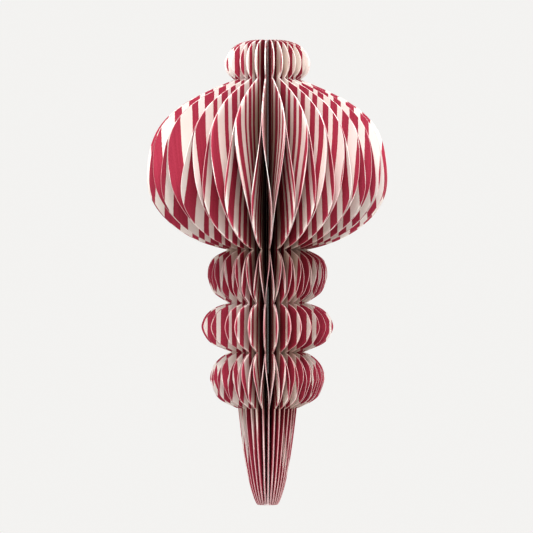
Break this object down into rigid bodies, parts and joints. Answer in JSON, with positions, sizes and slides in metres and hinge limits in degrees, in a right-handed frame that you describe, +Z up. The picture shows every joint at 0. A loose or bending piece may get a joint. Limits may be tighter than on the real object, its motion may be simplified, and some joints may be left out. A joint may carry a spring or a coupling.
{
  "type": "accordion paper lantern",
  "caption": "Hanging accordion paper lantern: shaped striped paper leaves bound at a spine, which fan out into a round finial and fold flat between two stiff covers.",
  "frame": {"origin": "top of the spine axis, level with the flat crown, where the lantern hangs", "axes": "+Z up along the spine axis; the lantern hangs down from the origin; the covers meet at the back left, halfway between -X and +Y"},
  "size_m": [0.1551, 0.1554, 0.3],
  "materials": {
    "leaf_paper": "matte heavy paper, printed on both sides with uneven upright stripes of crimson and warm cream, with pale cut edges",
    "cover_card": "stiff card faced with the same striped matte paper, pale cut edges",
    "magnet_nickel": "nickel-plated, lightly scuffed"
  },
  "bodies": {
    "first_end": {"cover_first": "cover_card", "magnet_upper_first": "magnet_nickel", "magnet_lower_first": "magnet_nickel", "leaf_00": "leaf_paper"},
    "leaf_01": {"leaf_01": "leaf_paper"},
    "leaf_02": {"leaf_02": "leaf_paper"},
    "leaf_03": {"leaf_03": "leaf_paper"},
    "leaf_04": {"leaf_04": "leaf_paper"},
    "leaf_05": {"leaf_05": "leaf_paper"},
    "leaf_06": {"leaf_06": "leaf_paper"},
    "leaf_07": {"leaf_07": "leaf_paper"},
    "leaf_08": {"leaf_08": "leaf_paper"},
    "leaf_09": {"leaf_09": "leaf_paper"},
    "leaf_10": {"leaf_10": "leaf_paper"},
    "leaf_11": {"leaf_11": "leaf_paper"},
    "leaf_12": {"leaf_12": "leaf_paper"},
    "leaf_13": {"leaf_13": "leaf_paper"},
    "leaf_14": {"leaf_14": "leaf_paper"},
    "leaf_15": {"leaf_15": "leaf_paper"},
    "leaf_16": {"leaf_16": "leaf_paper"},
    "leaf_17": {"leaf_17": "leaf_paper"},
    "leaf_18": {"leaf_18": "leaf_paper"},
    "leaf_19": {"leaf_19": "leaf_paper"},
    "leaf_20": {"leaf_20": "leaf_paper"},
    "leaf_21": {"leaf_21": "leaf_paper"},
    "leaf_22": {"leaf_22": "leaf_paper"},
    "leaf_23": {"leaf_23": "leaf_paper"},
    "leaf_24": {"leaf_24": "leaf_paper"},
    "leaf_25": {"leaf_25": "leaf_paper"},
    "leaf_26": {"leaf_26": "leaf_paper"},
    "leaf_27": {"leaf_27": "leaf_paper"},
    "leaf_28": {"leaf_28": "leaf_paper"},
    "leaf_29": {"leaf_29": "leaf_paper"},
    "leaf_30": {"leaf_30": "leaf_paper"},
    "leaf_31": {"leaf_31": "leaf_paper"},
    "leaf_32": {"leaf_32": "leaf_paper"},
    "leaf_33": {"leaf_33": "leaf_paper"},
    "leaf_34": {"leaf_34": "leaf_paper"},
    "leaf_35": {"leaf_35": "leaf_paper"},
    "leaf_36": {"leaf_36": "leaf_paper"},
    "leaf_37": {"leaf_37": "leaf_paper"},
    "leaf_38": {"leaf_38": "leaf_paper"},
    "leaf_39": {"leaf_39": "leaf_paper"},
    "leaf_40": {"leaf_40": "leaf_paper"},
    "leaf_41": {"leaf_41": "leaf_paper"},
    "leaf_42": {"leaf_42": "leaf_paper"},
    "leaf_43": {"leaf_43": "leaf_paper"},
    "leaf_44": {"leaf_44": "leaf_paper"},
    "leaf_45": {"leaf_45": "leaf_paper"},
    "leaf_46": {"leaf_46": "leaf_paper"},
    "leaf_47": {"leaf_47": "leaf_paper"},
    "leaf_48": {"leaf_48": "leaf_paper"},
    "leaf_49": {"leaf_49": "leaf_paper"},
    "leaf_50": {"leaf_50": "leaf_paper"},
    "leaf_51": {"leaf_51": "leaf_paper"},
    "last_end": {"cover_last": "cover_card", "magnet_upper_last": "magnet_nickel", "magnet_lower_last": "magnet_nickel"}
  },
  "joints": [
    {"name": "fan_fold", "type": "hinge", "parent": "first_end", "child": "leaf_01", "pos_m": [-0.00551, 0.00247, 0], "axis": [0, 0, 1], "range_deg": [-7, 0]},
    {"name": "cell_fold_01", "type": "hinge", "parent": "leaf_01", "child": "leaf_02", "pos_m": [-0.00575, 0.00186, 0], "axis": [0, 0, 1], "range_deg": [-7.5, 0]},
    {"name": "cell_fold_02", "type": "hinge", "parent": "leaf_02", "child": "leaf_03", "pos_m": [-0.00592, 0.00122, 0], "axis": [0, 0, 1], "range_deg": [-7.5, 0]},
    {"name": "cell_fold_03", "type": "hinge", "parent": "leaf_03", "child": "leaf_04", "pos_m": [-0.00601, 0.00057, 0], "axis": [0, 0, 1], "range_deg": [-7, 0]},
    {"name": "cell_fold_04", "type": "hinge", "parent": "leaf_04", "child": "leaf_05", "pos_m": [-0.00604, -0.00009, 0], "axis": [0, 0, 1], "range_deg": [-7, 0]},
    {"name": "cell_fold_05", "type": "hinge", "parent": "leaf_05", "child": "leaf_06", "pos_m": [-0.006, -0.00074, 0], "axis": [0, 0, 1], "range_deg": [-8, 0]},
    {"name": "cell_fold_06", "type": "hinge", "parent": "leaf_06", "child": "leaf_07", "pos_m": [-0.00588, -0.00139, 0], "axis": [0, 0, 1], "range_deg": [-10.5, 0]},
    {"name": "cell_fold_07", "type": "hinge", "parent": "leaf_07", "child": "leaf_08", "pos_m": [-0.00569, -0.00202, 0], "axis": [0, 0, 1], "range_deg": [-4.5, 0]},
    {"name": "cell_fold_08", "type": "hinge", "parent": "leaf_08", "child": "leaf_09", "pos_m": [-0.00544, -0.00263, 0], "axis": [0, 0, 1], "range_deg": [-13.5, 0]},
    {"name": "cell_fold_09", "type": "hinge", "parent": "leaf_09", "child": "leaf_10", "pos_m": [-0.00512, -0.0032, 0], "axis": [0, 0, 1], "range_deg": [-4.5, 0]},
    {"name": "cell_fold_10", "type": "hinge", "parent": "leaf_10", "child": "leaf_11", "pos_m": [-0.00474, -0.00374, 0], "axis": [0, 0, 1], "range_deg": [-10.2, 0]},
    {"name": "cell_fold_11", "type": "hinge", "parent": "leaf_11", "child": "leaf_12", "pos_m": [-0.00431, -0.00423, 0], "axis": [0, 0, 1], "range_deg": [-9.1, 0]},
    {"name": "cell_fold_12", "type": "hinge", "parent": "leaf_12", "child": "leaf_13", "pos_m": [-0.00382, -0.00468, 0], "axis": [0, 0, 1], "range_deg": [-6.1, 0]},
    {"name": "cell_fold_13", "type": "hinge", "parent": "leaf_13", "child": "leaf_14", "pos_m": [-0.00329, -0.00507, 0], "axis": [0, 0, 1], "range_deg": [-3.8, 0]},
    {"name": "cell_fold_14", "type": "hinge", "parent": "leaf_14", "child": "leaf_15", "pos_m": [-0.00272, -0.00539, 0], "axis": [0, 0, 1], "range_deg": [-7, 0]},
    {"name": "cell_fold_15", "type": "hinge", "parent": "leaf_15", "child": "leaf_16", "pos_m": [-0.00212, -0.00566, 0], "axis": [0, 0, 1], "range_deg": [-5.2, 0]},
    {"name": "cell_fold_16", "type": "hinge", "parent": "leaf_16", "child": "leaf_17", "pos_m": [-0.00149, -0.00585, 0], "axis": [0, 0, 1], "range_deg": [-8, 0]},
    {"name": "cell_fold_17", "type": "hinge", "parent": "leaf_17", "child": "leaf_18", "pos_m": [-0.00085, -0.00598, 0], "axis": [0, 0, 1], "range_deg": [-5.8, 0]},
    {"name": "cell_fold_18", "type": "hinge", "parent": "leaf_18", "child": "leaf_19", "pos_m": [-0.00019, -0.00604, 0], "axis": [0, 0, 1], "range_deg": [-5.9, 0]},
    {"name": "cell_fold_19", "type": "hinge", "parent": "leaf_19", "child": "leaf_20", "pos_m": [0.00047, -0.00602, 0], "axis": [0, 0, 1], "range_deg": [-6, 0]},
    {"name": "cell_fold_20", "type": "hinge", "parent": "leaf_20", "child": "leaf_21", "pos_m": [0.00112, -0.00594, 0], "axis": [0, 0, 1], "range_deg": [-5.5, 0]},
    {"name": "cell_fold_21", "type": "hinge", "parent": "leaf_21", "child": "leaf_22", "pos_m": [0.00176, -0.00578, 0], "axis": [0, 0, 1], "range_deg": [-5.7, 0]},
    {"name": "cell_fold_22", "type": "hinge", "parent": "leaf_22", "child": "leaf_23", "pos_m": [0.00238, -0.00555, 0], "axis": [0, 0, 1], "range_deg": [-4, 0]},
    {"name": "cell_fold_23", "type": "hinge", "parent": "leaf_23", "child": "leaf_24", "pos_m": [0.00297, -0.00526, 0], "axis": [0, 0, 1], "range_deg": [-5.6, 0]},
    {"name": "cell_fold_24", "type": "hinge", "parent": "leaf_24", "child": "leaf_25", "pos_m": [0.00352, -0.00491, 0], "axis": [0, 0, 1], "range_deg": [-4.2, 0]},
    {"name": "cell_fold_25", "type": "hinge", "parent": "leaf_25", "child": "leaf_26", "pos_m": [0.00403, -0.0045, 0], "axis": [0, 0, 1], "range_deg": [-5.9, 0]},
    {"name": "cell_fold_26", "type": "hinge", "parent": "leaf_26", "child": "leaf_27", "pos_m": [0.0045, -0.00403, 0], "axis": [0, 0, 1], "range_deg": [-4, 0]},
    {"name": "cell_fold_27", "type": "hinge", "parent": "leaf_27", "child": "leaf_28", "pos_m": [0.00491, -0.00352, 0], "axis": [0, 0, 1], "range_deg": [-6, 0]},
    {"name": "cell_fold_28", "type": "hinge", "parent": "leaf_28", "child": "leaf_29", "pos_m": [0.00526, -0.00297, 0], "axis": [0, 0, 1], "range_deg": [-4, 0]},
    {"name": "cell_fold_29", "type": "hinge", "parent": "leaf_29", "child": "leaf_30", "pos_m": [0.00555, -0.00238, 0], "axis": [0, 0, 1], "range_deg": [-5.5, 0]},
    {"name": "cell_fold_30", "type": "hinge", "parent": "leaf_30", "child": "leaf_31", "pos_m": [0.00578, -0.00176, 0], "axis": [0, 0, 1], "range_deg": [-4, 0]},
    {"name": "cell_fold_31", "type": "hinge", "parent": "leaf_31", "child": "leaf_32", "pos_m": [0.00594, -0.00112, 0], "axis": [0, 0, 1], "range_deg": [-6.2, 0]},
    {"name": "cell_fold_32", "type": "hinge", "parent": "leaf_32", "child": "leaf_33", "pos_m": [0.00602, -0.00047, 0], "axis": [0, 0, 1], "range_deg": [-4.8, 0]},
    {"name": "cell_fold_33", "type": "hinge", "parent": "leaf_33", "child": "leaf_34", "pos_m": [0.00604, 0.00019, 0], "axis": [0, 0, 1], "range_deg": [-6.5, 0]},
    {"name": "cell_fold_34", "type": "hinge", "parent": "leaf_34", "child": "leaf_35", "pos_m": [0.00598, 0.00085, 0], "axis": [0, 0, 1], "range_deg": [-6, 0]},
    {"name": "cell_fold_35", "type": "hinge", "parent": "leaf_35", "child": "leaf_36", "pos_m": [0.00585, 0.00149, 0], "axis": [0, 0, 1], "range_deg": [-7, 0]},
    {"name": "cell_fold_36", "type": "hinge", "parent": "leaf_36", "child": "leaf_37", "pos_m": [0.00566, 0.00212, 0], "axis": [0, 0, 1], "range_deg": [-6.5, 0]},
    {"name": "cell_fold_37", "type": "hinge", "parent": "leaf_37", "child": "leaf_38", "pos_m": [0.00539, 0.00272, 0], "axis": [0, 0, 1], "range_deg": [-7.5, 0]},
    {"name": "cell_fold_38", "type": "hinge", "parent": "leaf_38", "child": "leaf_39", "pos_m": [0.00507, 0.00329, 0], "axis": [0, 0, 1], "range_deg": [-7, 0]},
    {"name": "cell_fold_39", "type": "hinge", "parent": "leaf_39", "child": "leaf_40", "pos_m": [0.00468, 0.00382, 0], "axis": [0, 0, 1], "range_deg": [-8, 0]},
    {"name": "cell_fold_40", "type": "hinge", "parent": "leaf_40", "child": "leaf_41", "pos_m": [0.00423, 0.00431, 0], "axis": [0, 0, 1], "range_deg": [-8, 0]},
    {"name": "cell_fold_41", "type": "hinge", "parent": "leaf_41", "child": "leaf_42", "pos_m": [0.00374, 0.00474, 0], "axis": [0, 0, 1], "range_deg": [-9, 0]},
    {"name": "cell_fold_42", "type": "hinge", "parent": "leaf_42", "child": "leaf_43", "pos_m": [0.0032, 0.00512, 0], "axis": [0, 0, 1], "range_deg": [-8.5, 0]},
    {"name": "cell_fold_43", "type": "hinge", "parent": "leaf_43", "child": "leaf_44", "pos_m": [0.00263, 0.00544, 0], "axis": [0, 0, 1], "range_deg": [-9.5, 0]},
    {"name": "cell_fold_44", "type": "hinge", "parent": "leaf_44", "child": "leaf_45", "pos_m": [0.00202, 0.00569, 0], "axis": [0, 0, 1], "range_deg": [-9, 0]},
    {"name": "cell_fold_45", "type": "hinge", "parent": "leaf_45", "child": "leaf_46", "pos_m": [0.00139, 0.00588, 0], "axis": [0, 0, 1], "range_deg": [-10, 0]},
    {"name": "cell_fold_46", "type": "hinge", "parent": "leaf_46", "child": "leaf_47", "pos_m": [0.00074, 0.006, 0], "axis": [0, 0, 1], "range_deg": [-9.5, 0]},
    {"name": "cell_fold_47", "type": "hinge", "parent": "leaf_47", "child": "leaf_48", "pos_m": [0.00009, 0.00604, 0], "axis": [0, 0, 1], "range_deg": [-9.5, 0]},
    {"name": "cell_fold_48", "type": "hinge", "parent": "leaf_48", "child": "leaf_49", "pos_m": [-0.00057, 0.00601, 0], "axis": [0, 0, 1], "range_deg": [-7.5, 0]},
    {"name": "cell_fold_49", "type": "hinge", "parent": "leaf_49", "child": "leaf_50", "pos_m": [-0.00122, 0.00592, 0], "axis": [0, 0, 1], "range_deg": [-7.5, 0]},
    {"name": "cell_fold_50", "type": "hinge", "parent": "leaf_50", "child": "leaf_51", "pos_m": [-0.00186, 0.00575, 0], "axis": [0, 0, 1], "range_deg": [-7, 0]},
    {"name": "cell_fold_51", "type": "hinge", "parent": "leaf_51", "child": "last_end", "pos_m": [-0.00247, 0.00551, 0], "axis": [0, 0, 1], "range_deg": [-7, 0]}
  ],
  "couplings": [
    {"joint": "cell_fold_01", "follows": "fan_fold", "ratio": 1.0714},
    {"joint": "cell_fold_02", "follows": "fan_fold", "ratio": 1.0714},
    {"joint": "cell_fold_03", "follows": "fan_fold", "ratio": 1},
    {"joint": "cell_fold_04", "follows": "fan_fold", "ratio": 1},
    {"joint": "cell_fold_05", "follows": "fan_fold", "ratio": 1.1429},
    {"joint": "cell_fold_06", "follows": "fan_fold", "ratio": 1.5},
    {"joint": "cell_fold_07", "follows": "fan_fold", "ratio": 0.64286},
    {"joint": "cell_fold_08", "follows": "fan_fold", "ratio": 1.9286},
    {"joint": "cell_fold_09", "follows": "fan_fold", "ratio": 0.64286},
    {"joint": "cell_fold_10", "follows": "fan_fold", "ratio": 1.4571},
    {"joint": "cell_fold_11", "follows": "fan_fold", "ratio": 1.3},
    {"joint": "cell_fold_12", "follows": "fan_fold", "ratio": 0.87143},
    {"joint": "cell_fold_13", "follows": "fan_fold", "ratio": 0.54286},
    {"joint": "cell_fold_14", "follows": "fan_fold", "ratio": 1},
    {"joint": "cell_fold_15", "follows": "fan_fold", "ratio": 0.74286},
    {"joint": "cell_fold_16", "follows": "fan_fold", "ratio": 1.1429},
    {"joint": "cell_fold_17", "follows": "fan_fold", "ratio": 0.82857},
    {"joint": "cell_fold_18", "follows": "fan_fold", "ratio": 0.84286},
    {"joint": "cell_fold_19", "follows": "fan_fold", "ratio": 0.85714},
    {"joint": "cell_fold_20", "follows": "fan_fold", "ratio": 0.78571},
    {"joint": "cell_fold_21", "follows": "fan_fold", "ratio": 0.81429},
    {"joint": "cell_fold_22", "follows": "fan_fold", "ratio": 0.57143},
    {"joint": "cell_fold_23", "follows": "fan_fold", "ratio": 0.8},
    {"joint": "cell_fold_24", "follows": "fan_fold", "ratio": 0.6},
    {"joint": "cell_fold_25", "follows": "fan_fold", "ratio": 0.84286},
    {"joint": "cell_fold_26", "follows": "fan_fold", "ratio": 0.57143},
    {"joint": "cell_fold_27", "follows": "fan_fold", "ratio": 0.85714},
    {"joint": "cell_fold_28", "follows": "fan_fold", "ratio": 0.57143},
    {"joint": "cell_fold_29", "follows": "fan_fold", "ratio": 0.78571},
    {"joint": "cell_fold_30", "follows": "fan_fold", "ratio": 0.57143},
    {"joint": "cell_fold_31", "follows": "fan_fold", "ratio": 0.88571},
    {"joint": "cell_fold_32", "follows": "fan_fold", "ratio": 0.68571},
    {"joint": "cell_fold_33", "follows": "fan_fold", "ratio": 0.92857},
    {"joint": "cell_fold_34", "follows": "fan_fold", "ratio": 0.85714},
    {"joint": "cell_fold_35", "follows": "fan_fold", "ratio": 1},
    {"joint": "cell_fold_36", "follows": "fan_fold", "ratio": 0.92857},
    {"joint": "cell_fold_37", "follows": "fan_fold", "ratio": 1.0714},
    {"joint": "cell_fold_38", "follows": "fan_fold", "ratio": 1},
    {"joint": "cell_fold_39", "follows": "fan_fold", "ratio": 1.1429},
    {"joint": "cell_fold_40", "follows": "fan_fold", "ratio": 1.1429},
    {"joint": "cell_fold_41", "follows": "fan_fold", "ratio": 1.2857},
    {"joint": "cell_fold_42", "follows": "fan_fold", "ratio": 1.2143},
    {"joint": "cell_fold_43", "follows": "fan_fold", "ratio": 1.3571},
    {"joint": "cell_fold_44", "follows": "fan_fold", "ratio": 1.2857},
    {"joint": "cell_fold_45", "follows": "fan_fold", "ratio": 1.4286},
    {"joint": "cell_fold_46", "follows": "fan_fold", "ratio": 1.3571},
    {"joint": "cell_fold_47", "follows": "fan_fold", "ratio": 1.3571},
    {"joint": "cell_fold_48", "follows": "fan_fold", "ratio": 1.0714},
    {"joint": "cell_fold_49", "follows": "fan_fold", "ratio": 1.0714},
    {"joint": "cell_fold_50", "follows": "fan_fold", "ratio": 1},
    {"joint": "cell_fold_51", "follows": "fan_fold", "ratio": 1}
  ]
}
